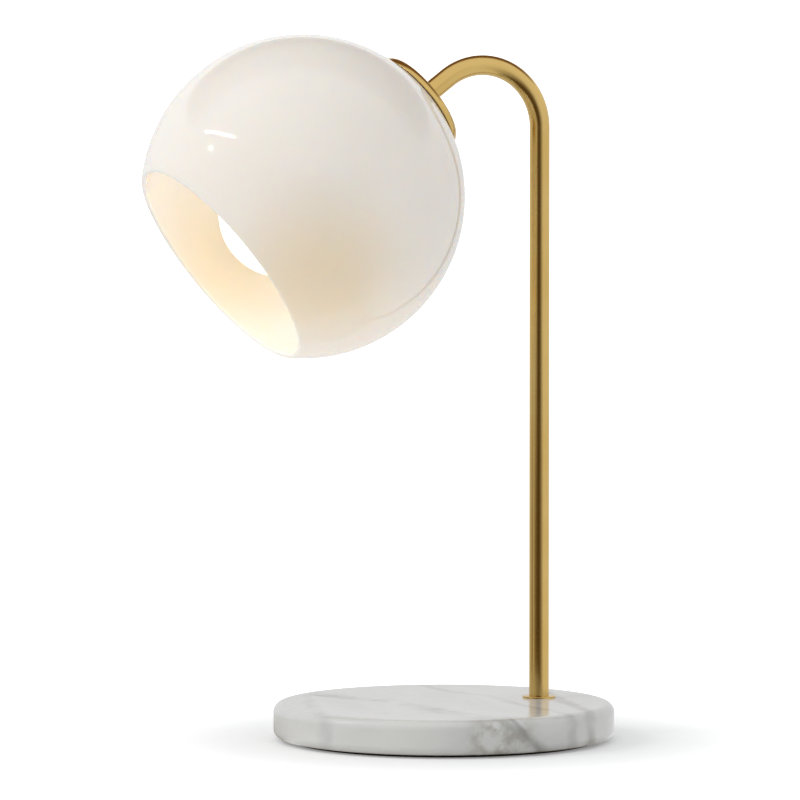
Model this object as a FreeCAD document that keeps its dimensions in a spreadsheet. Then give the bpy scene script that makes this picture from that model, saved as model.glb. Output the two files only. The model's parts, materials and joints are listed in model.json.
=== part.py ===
"""A glass globe table lamp, as an assembly of separate pieces, in millimetres.

The frame has +Z up and its origin on the table, at the centre of the round base. The lamp's plane of
symmetry is XZ: the stem stands on the +X side of the base, bends over and carries the shade towards -X.
Pieces of the base and stem are built straight in that frame. Pieces of the head (shade, cap, lampholder,
bulb) are built about their own Z axis, with the centre of the glass globe at zero and +Z towards the
brass cap, and are then placed along the tilted head axis.
"""

import FreeCAD, Part
import math
import os
import Sketcher

# Name, size in millimetres (or degrees, or a count), and what it is.
SIZES = [
    ("base_radius", 108.0, "marble disc"),
    ("marble_thickness", 22.0, "marble disc"),
    ("marble_top_round", 6.0, "rounded top edge"),
    ("marble_bottom_round", 5.0, "rounded bottom edge"),
    ("pad_radius", 97.0, "foam pad under the marble"),
    ("pad_thickness", 2.0, "foam pad under the marble"),
    ("recess_depth", 14.0, "pocket under the marble for nut and terminal block"),
    ("recess_half_width", 16.0, "half width of that pocket"),
    ("recess_length", 30.0, "between the centres of the pocket's round ends"),
    ("stem_offset", 66.0, "stem axis from the middle of the base"),
    ("collar_radius", 10.5, "brass collar at the foot of the stem"),
    ("collar_thickness", 1.2, "brass collar at the foot of the stem"),
    ("tube_radius", 6.35, "half inch stem tube"),
    ("tube_wall", 1.3, "half inch stem tube"),
    ("bend_height", 387.1, "centre of the hook's bend above the table"),
    ("bend_radius", 40.0, "centre line of the hook's bend"),
    ("hook_tail", 16.2, "straight end of the tube after the bend"),
    ("axis_tilt", 36.5, "head axis above the horizontal, degrees"),
    ("nipple_clearance", 0.05, "between a threaded nipple and the tube's bore"),
    ("nipple_wall", 1.5, "threaded nipples"),
    ("hole_clearance", 0.15, "round a nipple in the parts that it passes"),
    ("foot_nipple_inside", 20.0, "foot nipple's length inside the tube"),
    ("hook_nipple_inside", 14.0, "hook nipple's length inside the tube"),
    ("nut_across_flats", 14.0, "thin lamp nut"),
    ("nut_height", 3.5, "thin lamp nut"),
    ("nipple_overhang", 0.6, "nipple standing out of a nut"),
    ("lock_washer_radius", 8.5, "split washer"),
    ("lock_washer_thickness", 1.4, "split washer"),
    ("lock_washer_slot", 1.2, "slot in the split washer"),
    ("base_washer_radius", 14.0, "plain washer against the marble"),
    ("base_washer_thickness", 1.5, "plain washer against the marble"),
    ("cord_hole_height", 12.0, "cord hole's axis above the table"),
    ("bushing_radius", 4.0, "cord bushing's barrel"),
    ("bushing_bore_radius", 3.2, "cord bushing's bore"),
    ("bushing_clearance", 0.1, "round the bushing in the marble"),
    ("bushing_length", 14.0, "barrel inside the marble"),
    ("bushing_flange_radius", 5.5, "flange on the rim of the base"),
    ("bushing_flange_thickness", 1.5, "flange on the rim of the base"),
    ("block_length", 16.0, "terminal block, along the leads"),
    ("block_width", 17.0, "terminal block, across the leads"),
    ("block_height", 9.5, "terminal block"),
    ("block_gap", 0.2, "terminal block above the pad"),
    ("way_spacing", 8.5, "between the terminal block's two ways"),
    ("way_height", 3.0, "the ways above the block's underside"),
    ("barrel_radius", 2.3, "brass barrels in the block"),
    ("barrel_bore_radius", 1.5, "bore of the brass barrels"),
    ("barrel_setback", 1.0, "barrels behind the block's ends"),
    ("block_screw_radius", 1.3, "clamp screws of the block"),
    ("block_screw_inset", 4.0, "clamp screws from the block's ends"),
    ("lead_radius", 1.1, "insulated wire"),
    ("lead_spacing", 3.2, "between the two wires' centres in the stem"),
    ("lead_foot_bend", 3.8, "bend of the wires below the foot nipple"),
    ("lead_side_bend", 12.0, "sideways bends of the wires in the base"),
    ("lead_end_bend", 2.4, "bend of the wires at the lampholder"),
    ("lead_in_block", 7.0, "wire end inside the terminal block"),
    ("lead_straight", 3.0, "wire straight out of the terminal block"),
    ("lead_closing", 9.0, "run over which the two wires close up"),
    ("lead_clearance", 0.2, "round a wire at a terminal"),
    ("globe_radius", 101.6, "glass globe, outside"),
    ("glass_wall", 3.0, "glass globe"),
    ("lip_round", 1.1, "fire-polished lip of the mouth"),
    ("mouth_offset", 69.3, "plane of the mouth from the globe's centre"),
    ("neck_clearance", 1.8, "round the lampholder in the glass"),
    ("cap_seat", 96.3, "plane of the cap's edge from the globe's centre"),
    ("cap_radius", 34.4, "spun brass cap"),
    ("cap_height", 10.0, "spun brass cap, edge to crown"),
    ("cap_dome_radius", 105.0, "curve of the cap's crown"),
    ("cap_shoulder_radius", 6.0, "curve of the cap's shoulder"),
    ("cap_wall", 1.2, "spun brass cap"),
    ("gasket_width", 3.5, "soft ring between cap and glass"),
    ("gasket_reach", 2.8, "soft ring outside the start of the cap's shoulder"),
    ("gasket_bevel", 1.8, "soft ring between cap and glass"),
    ("gasket_gap", 0.3, "between the soft ring and the cap"),
    ("glass_gap", 0.1, "between the glass and the soft rings"),
    ("hook_washer_radius", 9.0, "washer under the cap's crown"),
    ("hook_washer_thickness", 1.0, "washer under the cap's crown"),
    ("socket_neck_radius", 9.0, "flat top of the lampholder's cap"),
    ("socket_neck_height", 1.5, "flat top of the lampholder's cap"),
    ("socket_cap_height", 7.1, "lampholder's cap below its flat top"),
    ("socket_cap_side", 2.1, "upright side of the lampholder's cap"),
    ("socket_cap_slope", 1.5, "fall of the lampholder's cap to its bevel"),
    ("socket_cap_bevel", 4.0, "bevel of the lampholder's cap"),
    ("socket_cap_inset", 0.6, "lampholder's cap inside the skirt's outline"),
    ("socket_wall", 1.9, "wall of the lampholder's cap and skirt"),
    ("skirt_radius", 19.2, "threaded skirt of the lampholder"),
    ("skirt_length", 53.5, "threaded skirt of the lampholder"),
    ("skirt_thread_pitch", 2.4, "grooves of the skirt's thread"),
    ("skirt_thread_depth", 0.6, "grooves of the skirt's thread"),
    ("skirt_thread_turns", 12, "grooves of the skirt's thread"),
    ("core_clearance", 0.3, "porcelain core inside the skirt"),
    ("core_setback", 7.5, "porcelain core behind the skirt's back edge"),
    ("core_length", 42.0, "porcelain core of the lampholder"),
    ("core_floor", 21.4, "porcelain behind the bulb's contact"),
    ("shell_radius", 14.0, "screw shell of the lampholder"),
    ("shell_wall", 0.45, "screw shell of the lampholder"),
    ("shell_length", 19.8, "screw shell of the lampholder"),
    ("shell_clearance", 0.1, "round and behind the screw shell"),
    ("leaf_thickness", 0.5, "sprung centre contact"),
    ("leaf_width", 6.0, "sprung centre contact"),
    ("leaf_root", 9.0, "fixed end of the centre contact from the axis"),
    ("leaf_knee", 4.5, "bend of the centre contact from the axis"),
    ("leaf_tip", 2.5, "half length of the flat that the bulb touches"),
    ("leaf_rise", 0.9, "flat of the centre contact above its seat"),
    ("terminal_offset", 8.0, "terminal screws from the head axis"),
    ("terminal_screw_radius", 1.6, "terminal screws"),
    ("terminal_screw_depth", 6.0, "terminal screws inside the porcelain"),
    ("terminal_hole_depth", 8.0, "holes in the porcelain"),
    ("terminal_head_radius", 2.8, "terminal screws"),
    ("terminal_head_height", 1.6, "terminal screws"),
    ("terminal_plate_thickness", 0.8, "terminal plates"),
    ("terminal_plate_length", 8.0, "terminal plates"),
    ("terminal_plate_width", 7.0, "terminal plates"),
    ("ring_width", 5.15, "flange of the retaining ring inside the globe"),
    ("ring_step", 2.5, "retaining ring's grip inside its flange"),
    ("ring_height", 5.0, "retaining ring inside the globe"),
    ("ring_flange", 2.0, "flange of the retaining ring"),
    ("ring_clearance", 0.15, "round the skirt in the ring"),
    ("ring_grips", 24, "finger notches round the ring"),
    ("ring_notch_radius", 1.2, "finger notches round the ring"),
    ("ring_notch_inset", 0.5, "centres of the notches outside the grip"),
    ("ring_washer_thickness", 2.0, "soft washer between ring and glass"),
    ("ring_washer_inset", 1.0, "soft washer inside the ring's flange"),
    ("bulb_radius", 39.75, "diffuser of the G25 bulb"),
    ("bulb_length", 122.4, "bulb, tip to centre contact"),
    ("diffuser_wall", 1.2, "diffuser of the bulb"),
    ("diffuser_neck_radius", 22.0, "where the diffuser meets the housing"),
    ("diffuser_lip", 1.0, "straight lip of the diffuser's neck"),
    ("housing_inset", 0.6, "housing inside the diffuser's outline"),
    ("housing_bowl_share", 0.355, "upper part's share of the driver housing's length"),
    ("housing_bowl_taper", 1.6, "how far the upper part draws in"),
    ("housing_cone_share", 0.4, "conical part's share of the driver housing's length"),
    ("housing_ankle_radius", 16.1, "housing at the end of its cone"),
    ("housing_foot_radius", 14.6, "housing at the screw cap"),
    ("housing_wall", 2.5, "driver housing"),
    ("board_clearance", 0.2, "LED board inside the housing"),
    ("board_thickness", 1.6, "LED board"),
    ("led_count", 12, "LED packages on the board"),
    ("led_circle", 12.0, "radius of the ring of LED packages"),
    ("led_size", 3.0, "side of an LED package"),
    ("led_height", 0.8, "LED package"),
    ("contact_gap", 0.1, "between the two centre contacts"),
    ("contact_radius", 4.6, "bulb's centre contact"),
    ("contact_height", 1.6, "bulb's centre contact"),
    ("contact_flat", 2.1, "flat end of the bulb's centre contact"),
    ("insulator_height", 3.4, "black glass behind the screw cap"),
    ("insulator_rim", 1.0, "black glass round the centre contact"),
    ("screw_cap_radius", 13.05, "crests of the E26 thread"),
    ("screw_cap_length", 21.0, "E26 screw cap"),
    ("screw_cap_bevel", 1.0, "back edge of the screw cap"),
    ("screw_cap_wall", 1.65, "E26 screw cap"),
    ("thread_pitch", 3.63, "E26 thread, seven to the inch"),
    ("thread_depth", 0.8, "E26 thread"),
    ("thread_root", 0.5, "flat of the thread's groove"),
    ("thread_turns", 5, "E26 thread"),
    ("overrun", 1.0, "how far a cutting tool runs past the piece"),
]


class Size:
    """A number and the spreadsheet expression that it comes from, kept together through arithmetic."""

    def __init__(self, text, number):
        self.text = text
        self.number = number

    def __add__(self, other):
        other = as_size(other)
        return Size(f"({self.text} + {other.text})", self.number + other.number)

    def __sub__(self, other):
        other = as_size(other)
        return Size(f"({self.text} - {other.text})", self.number - other.number)

    def __mul__(self, other):
        other = as_size(other)
        return Size(f"({self.text} * {other.text})", self.number * other.number)

    def __truediv__(self, other):
        other = as_size(other)
        return Size(f"({self.text} / {other.text})", self.number / other.number)

    def __neg__(self):
        return Size(f"(0 - {self.text})", -self.number)

    __radd__ = __add__
    __rmul__ = __mul__


def as_size(value):
    return value if isinstance(value, Size) else Size(repr(float(value)), float(value))


def read(value):
    return as_size(value).number


def root(value):
    return Size(f"sqrt({value.text})", math.sqrt(value.number))


def sine(degrees):
    return Size(f"sin({degrees.text})", math.sin(math.radians(degrees.number)))


def cosine(degrees):
    return Size(f"cos({degrees.text})", math.cos(math.radians(degrees.number)))


def chord_height(radius, half_chord):
    """How far from a circle's centre a chord of that half length lies."""
    return root(radius * radius - half_chord * half_chord)


doc = FreeCAD.newDocument("globe_table_lamp")
sheet = doc.addObject("Spreadsheet::Sheet", "Sizes")
for row, (alias, number, note) in enumerate(SIZES, start=1):
    sheet.set(f"A{row}", alias)
    sheet.set(f"B{row}", str(number))
    sheet.setAlias(f"B{row}", alias)
    sheet.set(f"C{row}", note)
doc.recompute()

S = type("Sizes", (), {})()
for alias, number, note in SIZES:
    setattr(S, alias, Size(f"Sizes.{alias}", float(sheet.get(alias))))

# ---------------------------------------------------------------- places worked out from the sizes
# Heights above the table, at the base and stem.
MARBLE_TOP = S.pad_thickness + S.marble_thickness
RECESS_TOP = S.pad_thickness + S.recess_depth
TUBE_FOOT = MARBLE_TOP + S.collar_thickness
TUBE_BORE = S.tube_radius - S.tube_wall
NIPPLE_RADIUS = TUBE_BORE - S.nipple_clearance
NIPPLE_BORE = NIPPLE_RADIUS - S.nipple_wall
NIPPLE_HOLE = NIPPLE_RADIUS + S.hole_clearance
LOCK_WASHER_TOP = RECESS_TOP - S.base_washer_thickness
BASE_NUT_TOP = LOCK_WASHER_TOP - S.lock_washer_thickness
BASE_NUT_FOOT = BASE_NUT_TOP - S.nut_height
FOOT_NIPPLE_END = BASE_NUT_FOOT - S.nipple_overhang
BLOCK_FOOT = S.pad_thickness + S.block_gap
BLOCK_START = S.stem_offset - S.recess_length - S.block_length / 2
WAY_HEIGHT = BLOCK_FOOT + S.way_height

# Where the hook's bend ends and where its tail meets the cap, in the plane of the lamp.
AXIS_X = cosine(S.axis_tilt)
AXIS_Z = sine(S.axis_tilt)
BEND_END_X = S.stem_offset - S.bend_radius - S.bend_radius * AXIS_Z
BEND_END_Z = S.bend_height + S.bend_radius * AXIS_X
HOOK_END_X = BEND_END_X - S.hook_tail * AXIS_X
HOOK_END_Z = BEND_END_Z - S.hook_tail * AXIS_Z

# Places along the head axis, from the globe's centre towards the cap. The cap's shoulder is an arc that
# the crown's arc runs into.
CROWN = S.cap_seat + S.cap_height
SHOULDER_RADIUS = S.cap_radius - S.cap_shoulder_radius
DOME_CENTRE = CROWN - S.cap_dome_radius
SHOULDER_CENTRE = DOME_CENTRE + chord_height(S.cap_dome_radius - S.cap_shoulder_radius, SHOULDER_RADIUS)
GASKET_TOP = SHOULDER_CENTRE + S.cap_shoulder_radius - S.cap_wall - S.gasket_gap
GASKET_OUTER = SHOULDER_RADIUS + S.gasket_reach
HEAD_X = HOOK_END_X - CROWN * AXIS_X
HEAD_Z = HOOK_END_Z - CROWN * AXIS_Z
GLASS_INSIDE = S.globe_radius - S.glass_wall
NECK_HOLE = S.skirt_radius + S.neck_clearance
HOOK_WASHER_TOP = DOME_CENTRE + chord_height(S.cap_dome_radius - S.cap_wall, S.hook_washer_radius)
SOCKET_BACK = HOOK_WASHER_TOP - S.hook_washer_thickness
SOCKET_SHOULDER = SOCKET_BACK - S.socket_neck_height
SKIRT_BACK = SOCKET_SHOULDER - S.socket_cap_height
SKIRT_MOUTH = SKIRT_BACK - S.skirt_length
SKIRT_BORE = S.skirt_radius - S.socket_wall
HOOK_NUT_TOP = SOCKET_SHOULDER - S.socket_wall
HOOK_NUT_FOOT = HOOK_NUT_TOP - S.nut_height
HOOK_NIPPLE_END = HOOK_NUT_FOOT - S.nipple_overhang
CORE_BACK = SKIRT_BACK - S.core_setback
CORE_FRONT = CORE_BACK - S.core_length
CONTACT_SEAT = CORE_BACK - S.core_floor
SHELL_BACK = CONTACT_SEAT - S.shell_clearance
TERMINAL_SEAT = CORE_BACK + S.terminal_plate_thickness
TERMINAL_HEAD = TERMINAL_SEAT + S.lead_radius * 2 + S.lead_clearance * 2
RING_BORE = S.skirt_radius + S.ring_clearance
RING_RADIUS = S.skirt_radius + S.ring_clearance + S.ring_width + S.ring_step
RING_WASHER_RADIUS = RING_RADIUS - S.ring_washer_inset
RING_WASHER_TOP = chord_height(GLASS_INSIDE, RING_WASHER_RADIUS) - S.glass_gap
RING_TOP = RING_WASHER_TOP - S.ring_washer_thickness

# The bulb, from its contact to its diffuser.
BULB_END = CONTACT_SEAT - S.leaf_rise - S.contact_gap
INSULATOR_BACK = BULB_END - S.contact_height
SCREW_CAP_BACK = INSULATOR_BACK - S.insulator_height
SCREW_CAP_FRONT = SCREW_CAP_BACK - S.screw_cap_length
SCREW_CAP_BORE = S.screw_cap_radius - S.screw_cap_wall
BULB_CENTRE = BULB_END - S.bulb_length + S.bulb_radius
DIFFUSER_NECK = BULB_CENTRE + chord_height(S.bulb_radius, S.diffuser_neck_radius)
HOUSING_FRONT = DIFFUSER_NECK + S.diffuser_lip
HOUSING_LENGTH = SCREW_CAP_FRONT - HOUSING_FRONT
HOUSING_BOWL = HOUSING_LENGTH * S.housing_bowl_share
HOUSING_CONE = HOUSING_LENGTH * S.housing_cone_share


# ---------------------------------------------------------------- ways of building
def vector(x, y, z=0.0):
    return FreeCAD.Vector(read(x), read(y), read(z))


def put_in_head(item):
    """Places a piece that was built about its own Z axis along the head axis."""
    turn = FreeCAD.Rotation(FreeCAD.Vector(0, 1, 0), 90 - read(S.axis_tilt))
    item.Placement = FreeCAD.Placement(vector(HEAD_X, 0, HEAD_Z), turn)
    item.setExpression("Placement.Base.x", HEAD_X.text)
    item.setExpression("Placement.Base.z", HEAD_Z.text)
    item.setExpression("Placement.Rotation.Angle", f"90 - {S.axis_tilt.text}")


def new_body(name, head=False):
    body = doc.addObject("PartDesign::Body", name)
    body.Label = name
    if head:
        put_in_head(body)
    return body


def origin_part(body, role):
    return next(part for part in body.Origin.OriginFeatures if part.Role == role)


def new_sketch(body, plane="XZ_Plane", offset=None):
    sketch = body.newObject("Sketcher::SketchObject", f"{body.Name}_sketch")
    sketch.AttachmentSupport = (origin_part(body, plane), [""])
    sketch.MapMode = "FlatFace"
    if offset is not None:
        sketch.AttachmentOffset = FreeCAD.Placement(vector(0, 0, offset), FreeCAD.Rotation())
        sketch.setExpression("AttachmentOffset.Base.z", offset.text)
    return sketch


def bind(sketch, kind, item, place, value):
    """Adds one dimension to a sketch, driven by its expression."""
    value = as_size(value)
    arguments = [kind, item] + ([] if place is None else [place]) + [value.number]
    index = sketch.addConstraint(Sketcher.Constraint(*arguments))
    sketch.setExpression(f"Constraints[{index}]", value.text)


def arc_between(first, last, radius, turn):
    """An arc from first to last, of less than a half circle; turn is 1 to the left and -1 to the right."""
    middle = (first + last) * 0.5
    along = last - first
    aside = FreeCAD.Vector(-along.y, along.x, 0).normalize()
    rise = math.sqrt(max(radius * radius - along.Length * along.Length / 4, 0.0))
    centre = middle + aside * (turn * rise)
    start, end = (first, last) if turn > 0 else (last, first)
    circle = Part.Circle(centre, FreeCAD.Vector(0, 0, 1), radius)
    return Part.ArcOfCircle(circle, circle.parameter(start), circle.parameter(end))


def outline(sketch, points, arcs=None, closed=True):
    """Lines and arcs through points. arcs gives, for the side that starts at a point, its radius and turn."""
    arcs = arcs or {}
    corners = [vector(x, y) for x, y in points]
    sides = len(corners) if closed else len(corners) - 1
    ends = []
    first_item = sketch.GeometryCount
    for side in range(sides):
        here, there = corners[side], corners[(side + 1) % len(corners)]
        if side in arcs:
            radius, turn = arcs[side]
            sketch.addGeometry(arc_between(here, there, read(radius), turn), False)
            ends.append((1, 2) if turn > 0 else (2, 1))
        else:
            sketch.addGeometry(Part.LineSegment(here, there), False)
            ends.append((1, 2))
    for side in range(sides if closed else sides - 1):
        after = (side + 1) % sides
        here, there = first_item + side, first_item + after
        sketch.addConstraint(Sketcher.Constraint("Coincident", here, ends[side][1], there, ends[after][0]))
    for corner, (x, y) in enumerate(points):
        side, end = (corner, 0) if corner < sides else (corner - 1, 1)
        bind(sketch, "DistanceX", first_item + side, ends[side][end], x)
        bind(sketch, "DistanceY", first_item + side, ends[side][end], y)
    for side, (radius, turn) in arcs.items():
        bind(sketch, "Radius", first_item + side, None, radius)


def circle_line(sketch, x, y, radius):
    """A circle, as the edge of a round hole or boss."""
    circle = Part.Circle(vector(x, y), FreeCAD.Vector(0, 0, 1), read(radius))
    index = sketch.addGeometry(circle, False)
    bind(sketch, "DistanceX", index, 3, x)
    bind(sketch, "DistanceY", index, 3, y)
    bind(sketch, "Radius", index, None, radius)


def turn_sketch(body, sketch, axis="V_Axis"):
    solid = body.newObject("PartDesign::Revolution", f"{body.Name}_turned")
    solid.Profile = sketch
    solid.ReferenceAxis = (sketch, [axis])
    solid.Angle = 360
    doc.recompute()


def turned(name, points, arcs=None, head=True):
    """A piece turned about its own Z axis from a half section of radius and height."""
    body = new_body(name, head)
    sketch = new_sketch(body)
    outline(sketch, points, arcs)
    turn_sketch(body, sketch)
    return body


def plain_ring(name, inner, outer, low, high, head=True):
    return turned(name, [(inner, low), (outer, low), (outer, high), (inner, high)], head=head)


def stem_ring(name, inner, outer, low, high):
    """A plain ring round the stem's axis."""
    body = plain_ring(name, inner, outer, low, high, head=False)
    body.Placement = FreeCAD.Placement(vector(S.stem_offset, 0, 0), FreeCAD.Rotation())
    body.setExpression("Placement.Base.x", S.stem_offset.text)


def cut_pocket(body, sketch, length, upwards):
    pocket = body.newObject("PartDesign::Pocket", f"{body.Name}_cut")
    pocket.Profile = sketch
    pocket.Type = 0
    pocket.Reversed = upwards
    pocket.setExpression("Length", length.text)
    before = body.Shape.Volume
    doc.recompute()
    if body.Shape.Volume >= before:
        raise RuntimeError(f"a pocket in {body.Name} cuts nothing")
    return pocket


def turned_groove(body, points):
    sketch = new_sketch(body)
    outline(sketch, points)
    groove = body.newObject("PartDesign::Groove", f"{body.Name}_groove")
    groove.Profile = sketch
    groove.ReferenceAxis = (sketch, ["V_Axis"])
    groove.Angle = 360
    before = body.Shape.Volume
    doc.recompute()
    if body.Shape.Volume >= before:
        raise RuntimeError(f"a groove in {body.Name} cuts nothing")
    return groove


def repeat_along(body, feature, pitch, count):
    """Repeats a groove along +Z, as the turns of a thread."""
    pattern = body.newObject("PartDesign::LinearPattern", f"{body.Name}_thread")
    pattern.Originals = [feature]
    pattern.Direction = (origin_part(body, "Z_Axis"), [""])
    pattern.setExpression("Length", (pitch * (count - 1)).text)
    pattern.setExpression("Occurrences", count.text)
    body.Tip = pattern
    doc.recompute()


def repeat_round(body, feature, count):
    pattern = body.newObject("PartDesign::PolarPattern", f"{body.Name}_round")
    pattern.Originals = [feature]
    pattern.Axis = (origin_part(body, "Z_Axis"), [""])
    pattern.Angle = 360
    pattern.setExpression("Occurrences", count.text)
    body.Tip = pattern
    doc.recompute()


def round_edges(body, radius, chosen):
    """Rounds the edges of a body for which chosen(edge) is true."""
    base = body.Tip
    names = [f"Edge{i}" for i, edge in enumerate(base.Shape.Edges, start=1) if chosen(edge)]
    fillet = body.newObject("PartDesign::Fillet", f"{body.Name}_round")
    fillet.Base = (base, names)
    fillet.setExpression("Radius", radius.text)
    doc.recompute()


def primitive(kind, name, **sizes):
    """A Part primitive whose sizes are bound to the sheet."""
    item = doc.addObject(kind, name)
    for key, value in sizes.items():
        item.setExpression(key, as_size(value).text)
    return item


def place(item, x=0, y=0, z=0, axis=None, angle=0):
    """Puts a primitive somewhere, with each coordinate bound to the sheet."""
    turn = FreeCAD.Rotation(FreeCAD.Vector(*axis), angle) if axis else FreeCAD.Rotation()
    item.Placement = FreeCAD.Placement(vector(x, y, z), turn)
    for key, value in (("x", x), ("y", y), ("z", z)):
        item.setExpression(f"Placement.Base.{key}", as_size(value).text)
    return item


def combined(kind, name, parts, head=False):
    """A cut of the first part by the second, or a fusion or a group of all of them."""
    item = doc.addObject(kind, name)
    item.Label = name
    if kind == "Part::Cut":
        item.Base, item.Tool = parts
    elif kind == "Part::Compound":
        item.Links = parts
    else:
        item.Shapes = parts
    if head:
        put_in_head(item)
    doc.recompute()
    return item


def nipple_drill(name, x, low, thickness):
    """A cutter for the hole in which a nipple passes."""
    drill = primitive("Part::Cylinder", name, Radius=NIPPLE_HOLE, Height=thickness + S.overrun * 2)
    return place(drill, x, 0, low - S.overrun)


def hexagon_nut(name, x, low, head):
    corner_radius = S.nut_across_flats / cosine(as_size(30)) / 2
    blank = primitive("Part::Prism", f"{name}_blank", Circumradius=corner_radius, Height=S.nut_height)
    blank.Polygon = 6
    place(blank, x, 0, low)
    combined("Part::Cut", name, [blank, nipple_drill(f"{name}_bore", x, low, S.nut_height)], head)


def bent_path(points, radii):
    """Straight runs through points, joined by tangent arcs of the given radii at the inner points."""
    edges = []
    start = points[0]
    for corner, radius, beyond in zip(points[1:-1], radii, points[2:]):
        inward = (start - corner).normalize()
        outward = (beyond - corner).normalize()
        half = (math.pi - inward.getAngle(outward)) / 2
        first = corner + inward * (radius * math.tan(half))
        last = corner + outward * (radius * math.tan(half))
        bisector = (inward + outward).normalize()
        middle = corner + bisector * (radius / math.cos(half) - radius)
        edges.append(Part.LineSegment(start, first).toShape())
        edges.append(Part.Arc(first, middle, last).toShape())
        start = last
    edges.append(Part.LineSegment(start, points[-1]).toShape())
    return Part.Wire(edges)


# ---------------------------------------------------------------- base
def base_pad():
    half_section = [(0, 0), (S.pad_radius, 0), (S.pad_radius, S.pad_thickness), (0, S.pad_thickness)]
    turned("base_pad", half_section, head=False)


def base_marble():
    """Marble disc with rounded edges, a hole for the nipple, a pocket underneath and a hole for the cord."""
    low, high = S.pad_thickness, MARBLE_TOP
    half_section = [
        (0, low),
        (S.base_radius - S.marble_bottom_round, low),
        (S.base_radius, low + S.marble_bottom_round),
        (S.base_radius, high - S.marble_top_round),
        (S.base_radius - S.marble_top_round, high),
        (0, high),
    ]
    rounds = {1: (S.marble_bottom_round, 1), 3: (S.marble_top_round, 1)}
    body = turned("base_marble", half_section, rounds, head=False)
    near, far, wide = S.stem_offset, S.stem_offset - S.recess_length, S.recess_half_width
    slot = [(far, -wide), (near, -wide), (near + wide, 0), (near, wide), (far, wide), (far - wide, 0)]
    pocket = new_sketch(body, "XY_Plane", low)
    outline(pocket, slot, {side: (wide, 1) for side in (1, 2, 4, 5)})
    cut_pocket(body, pocket, S.recess_depth, True)
    hole = new_sketch(body, "XY_Plane", MARBLE_TOP)
    circle_line(hole, S.stem_offset, 0, NIPPLE_HOLE)
    cut_pocket(body, hole, S.marble_thickness, False)
    cord = new_sketch(body, "YZ_Plane", S.base_radius)
    circle_line(cord, 0, S.cord_hole_height, S.bushing_radius + S.bushing_clearance)
    cut_pocket(body, cord, S.base_radius - S.stem_offset, False)


def base_hardware():
    """What clamps the stem to the marble: washer, split washer, nut and the nipple that they hold."""
    nipple_top = TUBE_FOOT + S.foot_nipple_inside
    stem_ring("stem_foot_nipple", NIPPLE_BORE, NIPPLE_RADIUS, FOOT_NIPPLE_END, nipple_top)
    stem_ring("base_washer", NIPPLE_HOLE, S.base_washer_radius, LOCK_WASHER_TOP, RECESS_TOP)
    thick, radius, slot = S.lock_washer_thickness, S.lock_washer_radius, S.lock_washer_slot
    disc = primitive("Part::Cylinder", "lock_washer_disc", Radius=radius, Height=thick)
    place(disc, S.stem_offset, 0, BASE_NUT_TOP)
    gap = primitive(
        "Part::Box", "lock_washer_slot", Length=radius + S.overrun, Width=slot, Height=thick + S.overrun * 2
    )
    place(gap, S.stem_offset, -slot / 2, BASE_NUT_TOP - S.overrun)
    bore = nipple_drill("lock_washer_bore", S.stem_offset, BASE_NUT_TOP, thick)
    tools = combined("Part::MultiFuse", "lock_washer_tools", [bore, gap])
    combined("Part::Cut", "base_lock_washer", [disc, tools])
    hexagon_nut("base_nut", S.stem_offset, BASE_NUT_FOOT, False)


def cord_bushing():
    """Bushing in the cord hole at the back of the base, turned about the hole's own axis."""
    body = new_body("cord_bushing")
    sketch = new_sketch(body)
    z, back, front = S.cord_hole_height, S.base_radius, S.base_radius - S.bushing_length
    rim = S.base_radius + S.bushing_flange_thickness
    half_section = [
        (front, z + S.bushing_bore_radius),
        (rim, z + S.bushing_bore_radius),
        (rim, z + S.bushing_flange_radius),
        (back, z + S.bushing_flange_radius),
        (back, z + S.bushing_radius),
        (front, z + S.bushing_radius),
    ]
    outline(sketch, half_section)
    axis = sketch.addGeometry(Part.LineSegment(vector(0, z), vector(back, z)), True)
    for end, x in ((1, 0), (2, back)):
        bind(sketch, "DistanceX", axis, end, x)
        bind(sketch, "DistanceY", axis, end, z)
    turn_sketch(body, sketch, "Axis0")


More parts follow.
